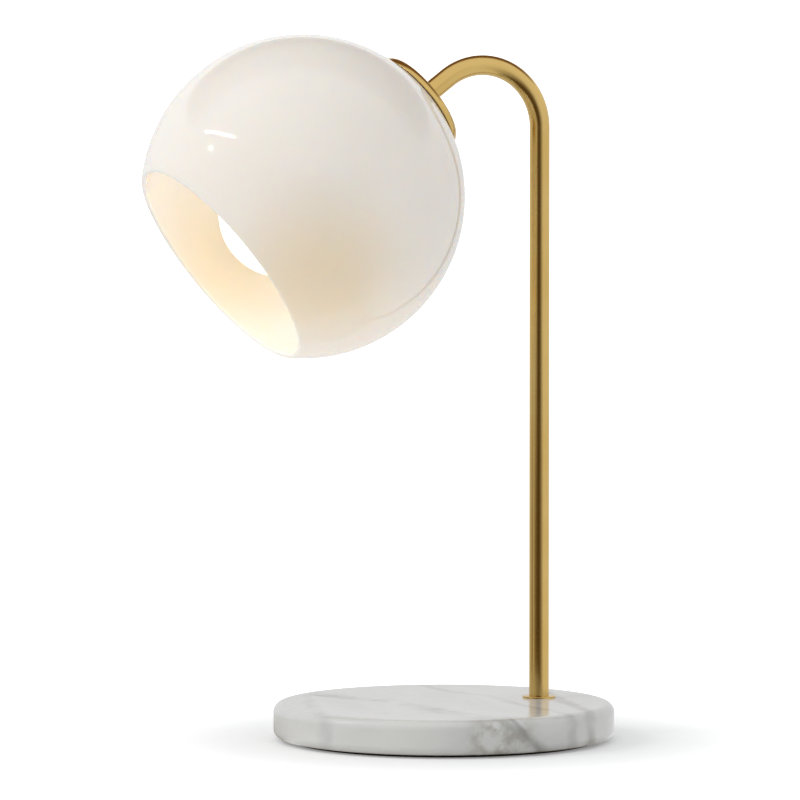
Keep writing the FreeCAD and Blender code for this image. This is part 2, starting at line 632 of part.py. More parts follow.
def terminal_block():
    """Two-way terminal block in the pocket: nylon body, two brass barrels and four clamp screws."""
    block = primitive(
        "Part::Box", "block_blank", Length=S.block_length, Width=S.block_width, Height=S.block_height
    )
    place(block, BLOCK_START, -S.block_width / 2, BLOCK_FOOT)
    screw_foot = WAY_HEIGHT + S.barrel_radius
    screw_height = BLOCK_FOOT + S.block_height - screw_foot
    insets = {"near": S.block_screw_inset, "far": S.block_length - S.block_screw_inset}
    along = ((0, 1, 0), 90)
    holes, barrels, screws = [], [], []
    for side, sign in (("left", -1), ("right", 1)):
        y = S.way_spacing / 2 * sign
        way = primitive(
            "Part::Cylinder", f"way_{side}", Radius=S.barrel_radius, Height=S.block_length + S.overrun * 2
        )
        holes.append(place(way, BLOCK_START - S.overrun, y, WAY_HEIGHT, *along))
        tube = primitive(
            "Part::Cylinder",
            f"barrel_tube_{side}",
            Radius=S.barrel_radius,
            Height=S.block_length - S.barrel_setback * 2,
        )
        place(tube, BLOCK_START + S.barrel_setback, y, WAY_HEIGHT, *along)
        bore = primitive(
            "Part::Cylinder", f"barrel_bore_{side}", Radius=S.barrel_bore_radius, Height=S.block_length
        )
        place(bore, BLOCK_START, y, WAY_HEIGHT, *along)
        barrels.append(combined("Part::Cut", f"barrel_{side}", [tube, bore]))
        for end, inset in insets.items():
            screw = primitive(
                "Part::Cylinder",
                f"block_screw_{side}_{end}",
                Radius=S.block_screw_radius,
                Height=screw_height,
            )
            screws.append(place(screw, BLOCK_START + inset, y, screw_foot))
            well = primitive(
                "Part::Cylinder",
                f"block_well_{side}_{end}",
                Radius=S.block_screw_radius,
                Height=screw_height + S.overrun,
            )
            holes.append(place(well, BLOCK_START + inset, y, screw_foot))
    drilled = combined("Part::MultiFuse", "block_holes", holes)
    combined("Part::Cut", "terminal_block_body", [block, drilled])
    combined("Part::Compound", "terminal_block_barrels", barrels)
    combined("Part::Compound", "terminal_block_screws", screws)


# ---------------------------------------------------------------- stem
def stem():
    """Foot collar, and a half inch tube: straight up, over one even bend, and a straight tail to the cap."""
    stem_ring("stem_collar", NIPPLE_HOLE, S.collar_radius, MARBLE_TOP, TUBE_FOOT)
    body = new_body("stem_tube")
    section = new_sketch(body, "XY_Plane", TUBE_FOOT)
    circle_line(section, S.stem_offset, 0, S.tube_radius)
    circle_line(section, S.stem_offset, 0, TUBE_BORE)
    stops = [
        (S.stem_offset, TUBE_FOOT),
        (S.stem_offset, S.bend_height),
        (S.stem_offset - S.bend_radius, S.bend_height + S.bend_radius),
        (BEND_END_X, BEND_END_Z),
        (HOOK_END_X, HOOK_END_Z),
    ]
    route = new_sketch(body)
    outline(route, stops, {1: (S.bend_radius, 1), 2: (S.bend_radius, 1)}, closed=False)
    pipe = body.newObject("PartDesign::AdditivePipe", "stem_tube_pipe")
    pipe.Profile = section
    pipe.Spine = (route, [])
    doc.recompute()


def leads():
    """The two insulated wires, from the terminal block up the stem and over the hook to the lampholder."""
    axis = vector(AXIS_X, 0, AXIS_Z)
    head = vector(HEAD_X, 0, HEAD_Z)
    stem_x, way_z = read(S.stem_offset), read(WAY_HEIGHT)
    block_end = read(BLOCK_START + S.block_length)
    loose = block_end + read(S.lead_straight)
    corner = vector(S.stem_offset, 0, HOOK_END_Z + (S.stem_offset - HOOK_END_X) * AXIS_Z / AXIS_X)
    terminal = head + axis * read(TERMINAL_SEAT + S.lead_clearance + S.lead_radius)
    reach = read(S.terminal_offset - S.terminal_screw_radius - S.lead_clearance)
    radii = [S.lead_side_bend, S.lead_side_bend, S.lead_foot_bend, S.bend_radius, S.lead_end_bend]
    for name, sign in (("lead_live", 1), ("lead_neutral", -1)):
        y, way_y = sign * read(S.lead_spacing) / 2, sign * read(S.way_spacing) / 2
        points = [
            FreeCAD.Vector(block_end - read(S.lead_in_block), way_y, way_z),
            FreeCAD.Vector(loose, way_y, way_z),
            FreeCAD.Vector(loose + read(S.lead_closing), y, way_z),
            FreeCAD.Vector(stem_x, y, way_z),
            corner + FreeCAD.Vector(0, y, 0),
            terminal + FreeCAD.Vector(0, y, 0),
            terminal + FreeCAD.Vector(0, sign * reach, 0),
        ]
        path = bent_path(points, [read(radius) for radius in radii])
        circle = Part.Circle(points[0], points[1] - points[0], read(S.lead_radius))
        solid = path.makePipeShell([Part.Wire(circle.toShape())], True, False)
        wanted = math.pi * read(S.lead_radius) ** 2 * path.Length
        print(f"{name}: {path.Length:.1f} mm long, volume {solid.Volume / wanted:.4f} of section x length")
        lead = doc.addObject("Part::Feature", name)
        lead.Label = name
        lead.Shape = solid


# ---------------------------------------------------------------- cap, glass and what clamps them
def shade_globe():
    """Blown glass globe: a mouth cut across it in front, and a small neck hole behind."""
    outer, inner = S.globe_radius, GLASS_INSIDE
    half_section = [
        (chord_height(outer, S.mouth_offset), -S.mouth_offset),
        (NECK_HOLE, chord_height(outer, NECK_HOLE)),
        (NECK_HOLE, chord_height(inner, NECK_HOLE)),
        (chord_height(inner, S.mouth_offset), -S.mouth_offset),
    ]
    body = turned("shade_globe", half_section, {0: (outer, 1), 2: (inner, -1)})
    mouth = -read(S.mouth_offset)
    near = 0.01
    round_edges(
        body,
        S.lip_round,
        lambda edge: edge.BoundBox.ZLength < near and abs(edge.BoundBox.ZMin - mouth) < near,
    )


def shade_cap():
    """Spun brass cap: a shallow crown with a rounded shoulder and an open edge that lies over the glass."""
    between = S.cap_dome_radius - S.cap_shoulder_radius
    lean_out = SHOULDER_RADIUS / between
    lean_up = (SHOULDER_CENTRE - DOME_CENTRE) / between

    def skin(depth):
        """Where a skin that deep starts at the hole, meets the shoulder and ends, with its two radii."""
        dome, shoulder = S.cap_dome_radius - depth, S.cap_shoulder_radius - depth
        start = (NIPPLE_HOLE, DOME_CENTRE + chord_height(dome, NIPPLE_HOLE))
        meet = (SHOULDER_RADIUS + shoulder * lean_out, SHOULDER_CENTRE + shoulder * lean_up)
        edge = (SHOULDER_RADIUS + chord_height(shoulder, S.cap_seat - SHOULDER_CENTRE), S.cap_seat)
        return start, meet, edge, dome, shoulder

    start, meet, edge, dome, shoulder = skin(0)
    start_in, meet_in, edge_in, dome_in, shoulder_in = skin(S.cap_wall)
    turned(
        "shade_cap",
        [start, meet, edge, edge_in, meet_in, start_in],
        {0: (dome, -1), 1: (shoulder, -1), 3: (shoulder_in, 1), 4: (dome_in, 1)},
    )


def shade_gasket():
    """Soft ring between the cap's shoulder and the glass."""
    inner, outer, bevel = GASKET_OUTER - S.gasket_width, GASKET_OUTER, S.gasket_bevel
    glass = S.globe_radius + S.glass_gap
    half_section = [
        (outer, chord_height(glass, outer)),
        (outer, GASKET_TOP - bevel),
        (outer - bevel, GASKET_TOP),
        (inner, GASKET_TOP),
        (inner, chord_height(glass, inner)),
    ]
    turned("shade_gasket", half_section, {4: (glass, -1)})


def shade_ring():
    """Retaining ring, screwed on the lampholder's skirt inside the globe, and the soft washer above it."""
    low, grip = RING_TOP - S.ring_height, RING_RADIUS - S.ring_step
    half_section = [
        (RING_BORE, low),
        (grip, low),
        (grip, RING_TOP - S.ring_flange),
        (RING_RADIUS, RING_TOP - S.ring_flange),
        (RING_RADIUS, RING_TOP),
        (RING_BORE, RING_TOP),
    ]
    body = turned("shade_ring", half_section)
    notch = new_sketch(body, "XY_Plane", low)
    circle_line(notch, grip + S.ring_notch_inset, 0, S.ring_notch_radius)
    cut = cut_pocket(body, notch, S.ring_height - S.ring_flange, True)
    repeat_round(body, cut, S.ring_grips)
    plain_ring("shade_ring_washer", RING_BORE, RING_WASHER_RADIUS, RING_TOP, RING_WASHER_TOP)


def hook_hardware():
    """What hangs the lampholder from the tube: nipple, washer under the cap, and nut."""
    plain_ring("hook_nipple", NIPPLE_BORE, NIPPLE_RADIUS, HOOK_NIPPLE_END, CROWN + S.hook_nipple_inside)
    plain_ring("hook_washer", NIPPLE_HOLE, S.hook_washer_radius, SOCKET_BACK, HOOK_WASHER_TOP)
    hexagon_nut("hook_nut", 0, HOOK_NUT_FOOT, True)


# ---------------------------------------------------------------- lampholder
def socket_cap():
    outer, wall = S.skirt_radius - S.socket_cap_inset, S.socket_wall
    side, slope, bevel = SKIRT_BACK + S.socket_cap_side, S.socket_cap_slope, S.socket_cap_bevel
    half_section = [
        (NIPPLE_HOLE, SOCKET_BACK),
        (S.socket_neck_radius, SOCKET_BACK),
        (S.socket_neck_radius, SOCKET_SHOULDER),
        (outer - bevel, SOCKET_SHOULDER - slope),
        (outer, side),
        (outer, SKIRT_BACK),
        (outer - wall, SKIRT_BACK),
        (outer - wall, side),
        (outer - bevel - wall, SOCKET_SHOULDER - slope - wall),
        (S.socket_neck_radius, HOOK_NUT_TOP),
        (NIPPLE_HOLE, HOOK_NUT_TOP),
    ]
    turned("socket_cap", half_section)


def socket_skirt():
    body = plain_ring("socket_skirt", SKIRT_BORE, S.skirt_radius, SKIRT_MOUTH, SKIRT_BACK)
    depth = S.skirt_thread_depth
    first = SKIRT_BACK - S.skirt_thread_pitch * S.skirt_thread_turns
    section = [
        (S.skirt_radius + depth, first - depth * 2),
        (S.skirt_radius - depth, first),
        (S.skirt_radius + depth, first + depth * 2),
    ]
    repeat_along(body, turned_groove(body, section), S.skirt_thread_pitch, S.skirt_thread_turns)


def socket_core():
    """Porcelain core with the well for the screw shell and two holes for the terminal screws."""
    outer, well = SKIRT_BORE - S.core_clearance, S.shell_radius + S.shell_clearance
    half_section = [
        (0, CONTACT_SEAT),
        (well, CONTACT_SEAT),
        (well, CORE_FRONT),
        (outer, CORE_FRONT),
        (outer, CORE_BACK),
        (0, CORE_BACK),
    ]
    core = turned("socket_core", half_section)
    holes = new_sketch(core, "XY_Plane", CORE_BACK)
    for sign in (-1, 1):
        circle_line(holes, 0, S.terminal_offset * sign, S.terminal_screw_radius)
    cut_pocket(core, holes, S.terminal_hole_depth, False)


def socket_contacts():
    """Screw shell, and the sprung leaf that touches the bulb's centre contact."""
    shell = S.shell_radius
    plain_ring("socket_screw_shell", shell - S.shell_wall, shell, SHELL_BACK - S.shell_length, SHELL_BACK)
    leaf = new_body("socket_centre_contact", True)
    side_view = new_sketch(leaf)
    thick, seat, flat = S.leaf_thickness, CONTACT_SEAT, CONTACT_SEAT - S.leaf_rise
    outline(
        side_view,
        [
            (-S.leaf_root, seat),
            (-S.leaf_root, seat - thick),
            (-S.leaf_knee, seat - thick),
            (-S.leaf_tip, flat),
            (S.leaf_tip, flat),
            (S.leaf_tip, flat + thick),
            (-S.leaf_tip, flat + thick),
            (-S.leaf_knee, seat),
        ],
    )
    strip = leaf.newObject("PartDesign::Pad", "socket_centre_contact_pad")
    strip.Profile = side_view
    strip.Midplane = True
    strip.setExpression("Length", S.leaf_width.text)
    doc.recompute()


def socket_terminals():
    """The two terminal plates on the core's back, and their screws."""
    plate_length, plate_width = S.terminal_plate_length, S.terminal_plate_width
    plate_thickness = S.terminal_plate_thickness
    shank_foot = CORE_BACK - S.terminal_screw_depth
    plates, screws = [], []
    for side, sign in (("left", -1), ("right", 1)):
        y = S.terminal_offset * sign
        plate = primitive(
            "Part::Box", f"plate_{side}_blank", Length=plate_length, Width=plate_width, Height=plate_thickness
        )
        place(plate, -plate_length / 2, y - plate_width / 2, CORE_BACK)
        hole = primitive(
            "Part::Cylinder",
            f"plate_{side}_hole",
            Radius=S.terminal_screw_radius,
            Height=plate_thickness + S.overrun * 2,
        )
        place(hole, 0, y, CORE_BACK - S.overrun)
        plates.append(combined("Part::Cut", f"plate_{side}", [plate, hole]))
        shank = primitive(
            "Part::Cylinder",
            f"terminal_shank_{side}",
            Radius=S.terminal_screw_radius,
            Height=TERMINAL_HEAD - shank_foot,
        )
        place(shank, 0, y, shank_foot)
        top = primitive(
            "Part::Cylinder",
            f"terminal_head_{side}",
            Radius=S.terminal_head_radius,
            Height=S.terminal_head_height,
        )
        place(top, 0, y, TERMINAL_HEAD)
        screws.append(combined("Part::MultiFuse", f"terminal_screw_{side}", [shank, top]))
    combined("Part::Compound", "socket_terminals", plates, True)
    combined("Part::Compound", "socket_terminal_screws", screws, True)


# ---------------------------------------------------------------- bulb
def bulb_diffuser():
    """Opal globe of the bulb, open at its neck."""
    outer, inner = S.bulb_radius, S.bulb_radius - S.diffuser_wall
    neck, neck_in = S.diffuser_neck_radius, S.diffuser_neck_radius - S.diffuser_wall
    half_section = [
        (0, BULB_CENTRE - outer),
        (outer, BULB_CENTRE),
        (neck, DIFFUSER_NECK),
        (neck, HOUSING_FRONT),
        (neck_in, HOUSING_FRONT),
        (neck_in, BULB_CENTRE + chord_height(inner, neck_in)),
        (inner, BULB_CENTRE),
        (0, BULB_CENTRE - inner),
    ]
    turned("bulb_diffuser", half_section, {0: (outer, 1), 1: (outer, 1), 5: (inner, -1), 6: (inner, -1)})


def bulb_housing():
    """Driver housing, from the diffuser's neck down to the screw cap."""
    top = S.diffuser_neck_radius - S.housing_inset
    waist = top - S.housing_bowl_taper
    ankle, foot, wall = S.housing_ankle_radius, S.housing_foot_radius, S.housing_wall
    bowl = HOUSING_FRONT + HOUSING_BOWL
    cone = bowl + HOUSING_CONE
    half_section = [
        (top - wall, HOUSING_FRONT),
        (top, HOUSING_FRONT),
        (waist, bowl),
        (ankle, cone),
        (foot, SCREW_CAP_FRONT),
        (SCREW_CAP_BORE, SCREW_CAP_FRONT),
        (ankle - wall, cone),
        (waist - wall, bowl),
    ]
    turned("bulb_housing", half_section)


def bulb_led_board():
    """Round board inside the housing's open end, with a ring of LED packages facing the mouth."""
    taper = S.housing_bowl_taper * S.board_thickness / HOUSING_BOWL
    radius = S.diffuser_neck_radius - S.housing_inset - S.housing_wall - taper - S.board_clearance
    board = primitive("Part::Cylinder", "led_board_disc", Radius=radius, Height=S.board_thickness)
    place(board, 0, 0, HOUSING_FRONT)
    pieces = [board]
    count = int(read(S.led_count))
    for number in range(count):
        angle = as_size(360 / count * number)
        package = primitive(
            "Part::Box", f"led_{number + 1}", Length=S.led_size, Width=S.led_size, Height=S.led_height
        )
        x = S.led_circle * cosine(angle) - S.led_size / 2
        y = S.led_circle * sine(angle) - S.led_size / 2
        pieces.append(place(package, x, y, HOUSING_FRONT - S.led_height))
    combined("Part::Compound", "bulb_led_board", pieces, True)


def bulb_base():
    """Screw cap with its rolled thread, the black glass insulator and the centre contact."""
    crest, deep = S.screw_cap_radius, S.screw_cap_radius - S.thread_depth
    bevel, back = S.screw_cap_bevel, SCREW_CAP_BACK
    half_section = [
        (SCREW_CAP_BORE, SCREW_CAP_FRONT),
        (crest, SCREW_CAP_FRONT),
        (crest, back - bevel),
        (crest - bevel, back),
        (SCREW_CAP_BORE, back),
    ]
    screw_cap = turned("bulb_screw_cap", half_section)
    first = SCREW_CAP_FRONT + S.thread_pitch / 2
    slope = S.thread_depth + S.overrun
    section = [
        (crest + S.overrun, first),
        (deep, first + slope),
        (deep, first + slope + S.thread_root),
        (crest + S.overrun, first + slope * 2 + S.thread_root),
    ]
    repeat_along(screw_cap, turned_groove(screw_cap, section), S.thread_pitch, S.thread_turns)
    rim = S.contact_radius + S.insulator_rim
    turned("bulb_insulator", [(0, back), (crest - bevel, back), (rim, INSULATOR_BACK), (0, INSULATOR_BACK)])
    turned(
        "bulb_contact",
        [(0, INSULATOR_BACK), (S.contact_radius, INSULATOR_BACK), (S.contact_flat, BULB_END), (0, BULB_END)],
    )


# ---------------------------------------------------------------- assembly
NODES = """base_pad base_marble base_washer base_lock_washer base_nut cord_bushing
terminal_block_body terminal_block_barrels terminal_block_screws
stem_foot_nipple stem_collar stem_tube lead_live lead_neutral
shade_cap shade_gasket shade_globe shade_ring shade_ring_washer hook_nipple hook_washer hook_nut
socket_cap socket_skirt socket_core socket_screw_shell socket_centre_contact
socket_terminals socket_terminal_screws
bulb_diffuser bulb_housing bulb_led_board bulb_screw_cap bulb_insulator bulb_contact""".split()


def build():
    base_pad()
    base_marble()
    base_hardware()
    cord_bushing()
    terminal_block()
    stem()
    leads()
    shade_cap()
    shade_gasket()
    shade_globe()
    shade_ring()
    hook_hardware()
    socket_cap()
    socket_skirt()
    socket_core()
    socket_contacts()
    socket_terminals()
    bulb_diffuser()
    bulb_housing()
    bulb_led_board()
    bulb_base()
    doc.recompute()


def check_and_write():
    for item in doc.Objects:
        if {"Invalid", "Error"} & set(item.State):
            raise RuntimeError(f"{item.Name} failed: {item.State}")
    shapes = {name: doc.getObject(name).Shape for name in NODES}
    for name, shape in shapes.items():
        if shape.isNull() or not shape.isValid() or not shape.Solids:
            raise RuntimeError(f"{name} has no valid solid")
    os.makedirs("parts", exist_ok=True)
    for name, shape in shapes.items():
        shape.exportStep(f"parts/{name}.step")
        print(f"{name}: {len(shape.Solids)} solid(s), {shape.Volume / 1000:.2f} cm3")


build()
check_and_write()
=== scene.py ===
import json
import math

import bmesh
import bpy
import numpy as np
from mathutils import Matrix, Vector


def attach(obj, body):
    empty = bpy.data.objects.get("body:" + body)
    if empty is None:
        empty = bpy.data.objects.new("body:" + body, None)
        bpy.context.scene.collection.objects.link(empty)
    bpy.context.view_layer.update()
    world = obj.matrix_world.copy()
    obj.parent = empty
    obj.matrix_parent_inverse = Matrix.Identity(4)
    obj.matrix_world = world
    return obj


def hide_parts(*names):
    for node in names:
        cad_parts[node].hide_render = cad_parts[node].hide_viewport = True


# Table lamp: an opal glass globe with its mouth cut open, hung from a bent brass stem over a round
# marble base. Lengths are in metres and angles in degrees unless a name says otherwise.
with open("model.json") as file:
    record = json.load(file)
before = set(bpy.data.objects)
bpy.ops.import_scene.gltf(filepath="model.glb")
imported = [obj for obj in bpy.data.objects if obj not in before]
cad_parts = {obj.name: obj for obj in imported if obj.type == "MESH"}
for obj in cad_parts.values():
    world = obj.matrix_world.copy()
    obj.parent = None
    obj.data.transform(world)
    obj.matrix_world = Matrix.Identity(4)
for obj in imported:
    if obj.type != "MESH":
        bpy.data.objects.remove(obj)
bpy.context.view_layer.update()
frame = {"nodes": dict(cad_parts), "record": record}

MM = 0.001

# ---------------------------------------------------------------- sizes, as in the part's source
GLOBE_RADIUS = 101.6 * MM
GLASS_WALL = 3.0 * MM
LIP_ROUND = 1.1 * MM
MOUTH_OFFSET = 69.3 * MM
NECK_RADIUS = 21.0 * MM

CAP_SEAT = 96.3 * MM
CAP_RADIUS = 34.4 * MM
CAP_HEIGHT = 10.0 * MM
CAP_DOME = 105.0 * MM
CAP_SHOULDER = 6.0 * MM
CAP_WALL = 1.2 * MM
CAP_EDGE_ROUND = 0.3 * MM

STEM_X = 66.0 * MM
MARBLE_TOP = 24.0 * MM
COLLAR_RADIUS = 10.5 * MM
COLLAR_HEIGHT = 1.2 * MM
COLLAR_ROUND = 0.35 * MM
TUBE_RADIUS = 6.35 * MM
TUBE_WALL = 1.3 * MM
BEND_HEIGHT = 387.1 * MM
BEND_RADIUS = 40.0 * MM
HOOK_TAIL = 16.2 * MM
NIPPLE_HOLE = 5.15 * MM
AXIS_TILT = math.radians(36.5)

# ---------------------------------------------------------------- places of colour, and the studio
# Painted glow: the middle of the warm tint painted low on either side of the globe.
PAINTED_GLOW_SPOT = (-0.0224, 0.0859, -0.0487)
RUST_PLACE = (-0.007, -0.108, 0.011)
VEIN_WANDER = 0.03
ROOM_RADIUS, ROOM_HEIGHT, ROOM_FLOOR = 0.9, 0.8, 0.0012
CEILING_RADIUS = 3.2
CEILING_MIDDLE = Vector((0, 0, 0.3))
FLOOR_REACH = 40.0

# Where the tube leaves its bend and ends, and where the globe's centre lies on the head's axis.
AXIS = Vector((math.cos(AXIS_TILT), 0, math.sin(AXIS_TILT)))
CROWN = CAP_SEAT + CAP_HEIGHT
BEND_END = Vector((STEM_X - BEND_RADIUS * (1 + AXIS.z), 0, BEND_HEIGHT + BEND_RADIUS * AXIS.x))
HOOK_END = BEND_END - AXIS * HOOK_TAIL
HEAD = HOOK_END - AXIS * CROWN
HEAD_TURN = math.radians(90) - AXIS_TILT
HEAD_PLACE = Matrix.Translation(HEAD) @ Matrix.Rotation(HEAD_TURN, 4, "Y")


# ---------------------------------------------------------------- the photograph's camera
def place_camera():
    """A long lens from the front right, a little above the lamp, with no roll."""
    turn, tilt = math.radians(23.055), math.radians(4.212)
    distance, aside, below = 5.05786, 0.027787, -0.0158
    back = Vector((-math.sin(turn) * math.cos(tilt), -math.cos(turn) * math.cos(tilt), math.sin(tilt)))
    right = Vector((math.cos(turn), -math.sin(turn), 0))
    up = back.cross(right)
    place = Vector((0, 0, 0.2)) + back * distance - right * aside - up * below
    data = bpy.data.cameras.new("camera")
    data.lens, data.sensor_width = 360, 36
    data.clip_start, data.clip_end = 0.1, 100
    camera = bpy.data.objects.new("camera", data)
    axes = Matrix((right, up, back)).transposed().to_4x4()
    camera.matrix_world = Matrix.Translation(place) @ axes
    bpy.context.scene.collection.objects.link(camera)
    bpy.context.scene.camera = camera
    return right, up, back


RIGHT, UP, BACK = place_camera()


# ---------------------------------------------------------------- making materials
class Finish:
    """A material on the Principled shader. Constants go on the shader's own sockets."""

    def __init__(self, name, **constants):
        self.material = bpy.data.materials.new(name)
        self.material.use_nodes = True
        self.tree = self.material.node_tree
        self.shader = self.tree.nodes["Principled BSDF"]
        self.object_place = self.add("ShaderNodeTexCoord").outputs["Object"]
        for key, value in constants.items():
            self.shader.inputs[key.replace("_", " ")].default_value = value

    def add(self, kind, inputs=None, **settings):
        node = self.tree.nodes.new(kind)
        for key, value in settings.items():
            setattr(node, key, value)
        for key, value in (inputs or {}).items():
            if isinstance(value, bpy.types.NodeSocket):
                self.tree.links.new(value, node.inputs[key])
            else:
                node.inputs[key].default_value = value
        return node

    def drive(self, socket, value):
        self.tree.links.new(value, self.shader.inputs[socket])

    def stretched(self, scale, place=None):
        """Object coordinates, in units of one over scale."""
        return self.add(
            "ShaderNodeVectorMath", {0: place or self.object_place, 1: scale}, operation="MULTIPLY"
        ).outputs[0]

    def noise(self, scale, detail=2.0, roughness=0.5, place=None, distortion=0.0):
        inputs = {
            "Vector": place or self.object_place,
            "Scale": scale,
            "Detail": detail,
            "Roughness": roughness,
            "Distortion": distortion,
        }
        return self.add("ShaderNodeTexNoise", inputs).outputs["Fac"]

    def sum(self, kind, *values):
        return self.add("ShaderNodeMath", dict(enumerate(values)), operation=kind).outputs[0]

    def dot(self, place, direction):
        return self.add(
            "ShaderNodeVectorMath", {0: place, 1: direction}, operation="DOT_PRODUCT"
        ).outputs["Value"]

    def less(self, place, start):
        inputs = {0: place, 1: start}
        return self.add("ShaderNodeVectorMath", inputs, operation="SUBTRACT").outputs[0]

    def distance(self, place, other):
        inputs = {0: place, 1: other}
        return self.add("ShaderNodeVectorMath", inputs, operation="DISTANCE").outputs["Value"]

    def between(self, value, low, high, out_low=0.0, out_high=1.0):
        """value, smoothly taken from the range low..high to the range out_low..out_high."""
        inputs = {0: value, 1: low, 2: high, 3: out_low, 4: out_high}
        return self.add("ShaderNodeMapRange", inputs, interpolation_type="SMOOTHSTEP").outputs[0]

    def mixed(self, factor, first, second, kind="MIX"):
        node = self.add("ShaderNodeMix", data_type="RGBA", blend_type=kind)
        for key, value in (("Factor_Float", factor), ("A_Color", first), ("B_Color", second)):
            socket = next(s for s in node.inputs if s.identifier == key)
            if isinstance(value, bpy.types.NodeSocket):
                self.tree.links.new(value, socket)
            else:
                socket.default_value = value
        return next(s for s in node.outputs if s.identifier == "Result_Color")

    def bump(self, height, distance, strength=1.0):
        normal = self.add("ShaderNodeBump", {"Height": height, "Distance": distance, "Strength": strength})
        self.drive("Normal", normal.outputs[0])


def rgb(red, green, blue):
    return (red, green, blue, 1.0)


def cast_or_moulded(slot, colour, dark, roughness, grain, variation=0.15, bump=0.02 * MM, **constants):
    """A plain industrial finish: faint blotches of colour, uneven roughness and a fine grain."""
    finish = Finish(slot, **constants)
    blotch = finish.noise(grain * 0.12, 3, 0.6)
    fine = finish.noise(grain, 4, 0.6)
    finish.drive("Base Color", finish.mixed(finish.between(blotch, 0.3, 0.7, 0, variation * 4), colour, dark))
    finish.drive("Roughness", finish.between(fine, 0.3, 0.7, roughness * 0.85, roughness * 1.15))
    finish.bump(fine, bump)
    return finish.material


# ---------------------------------------------------------------- the finishes that show
def opal_glass():
    """Cased opal glass: milky and translucent, under a clear glossy skin, with a painted warm glow low down.
    """
    finish = Finish(
        "opal_glass",
        Roughness=0.07,
        IOR=1.5,
        Subsurface_Weight=1.0,
        Subsurface_Radius=(1.0, 0.82, 0.62),
        Subsurface_Scale=4.6 * MM,
    )
    cloud = finish.noise(9, 3, 0.5)
    streak = finish.noise(30, 2, 0.5, finish.stretched((1, 1, 0.25)))
    pale, deep = rgb(0.93, 0.905, 0.875), rgb(0.90, 0.868, 0.83)
    ground = finish.mixed(finish.between(cloud, 0.3, 0.7), pale, deep)
    # Painted glow: a warm tint painted into the glass's colour low on either side, standing in for the lit
    # bulb shining through the wall; the lamp is symmetric, so y loses its sign.
    from_centre = finish.less(finish.object_place, HEAD)
    one_side = finish.add("ShaderNodeVectorMath", {0: from_centre}, operation="ABSOLUTE").outputs[0]
    folded = finish.add("ShaderNodeCombineXYZ", {
        0: finish.dot(from_centre, (1, 0, 0)),
        1: finish.dot(one_side, (0, 1, 0)),
        2: finish.dot(from_centre, (0, 0, 1)),
    }).outputs[0]
    away = finish.distance(folded, PAINTED_GLOW_SPOT)
    glow = finish.between(away, 0.008, 0.075, 1.0, 0.0)
    ground = finish.mixed(finish.sum("MULTIPLY", glow, 0.85), ground, rgb(0.94, 0.81, 0.67))
    finish.drive("Base Color", ground)
    # Painted glow as well: the glass gives off warm light of its own, stronger towards its bottom.
    finish.shader.inputs["Emission Color"].default_value = rgb(1.0, 0.76, 0.52)
    rise = finish.dot(from_centre, (0, 0, 1))
    finish.drive("Emission Strength", finish.between(rise, -0.095, -0.03, 0.13, 0.03))
    finish.drive("Roughness", finish.between(streak, 0.3, 0.7, 0.05, 0.09))
    finish.bump(finish.sum("ADD", cloud, finish.sum("MULTIPLY", streak, 0.15)), 0.25 * MM)
    return finish.material


def satin_brass(name="satin_brass", along=None):
    """Brass brushed along the tube: long fine scratches, with a warmer and a paler tone."""
    finish = Finish(name, Metallic=1.0)
    if along is None:
        to_axis = finish.add(
            "ShaderNodeMapping",
            {"Vector": finish.object_place, "Location": HEAD, "Rotation": (0, HEAD_TURN, 0)},
            vector_type="TEXTURE",
        ).outputs[0]
        flat = finish.add("ShaderNodeVectorMath", {0: to_axis, 1: (1, 1, 0)}, operation="MULTIPLY")
        radius = finish.add("ShaderNodeVectorMath", {0: flat.outputs[0]}, operation="LENGTH").outputs["Value"]
        place = finish.add("ShaderNodeCombineXYZ", {0: radius, 1: 0.0, 2: finish.dot(to_axis, (0, 0, 1))})
        scratch = finish.noise(6000, 2, 0.7, place.outputs[0])
    else:
        brushed = finish.add("ShaderNodeAttribute", attribute_name=along).outputs["Vector"]
        scratch = finish.noise(14, 3, 0.75, finish.stretched((1, 1, 2.5), brushed))
    tone = finish.noise(25, 3, 0.6)
    warm, pale = rgb(0.61, 0.41, 0.13), rgb(0.65, 0.455, 0.165)
    brass = finish.mixed(finish.between(tone, 0.3, 0.7), warm, pale)
    shine = finish.between(scratch, 0.35, 0.75, 0, 0.35)
    finish.drive("Base Color", finish.mixed(shine, brass, rgb(0.73, 0.53, 0.20)))
    finish.drive("Roughness", finish.between(scratch, 0.3, 0.7, 0.14, 0.22))
    finish.bump(scratch, 0.012 * MM)
    return finish.material


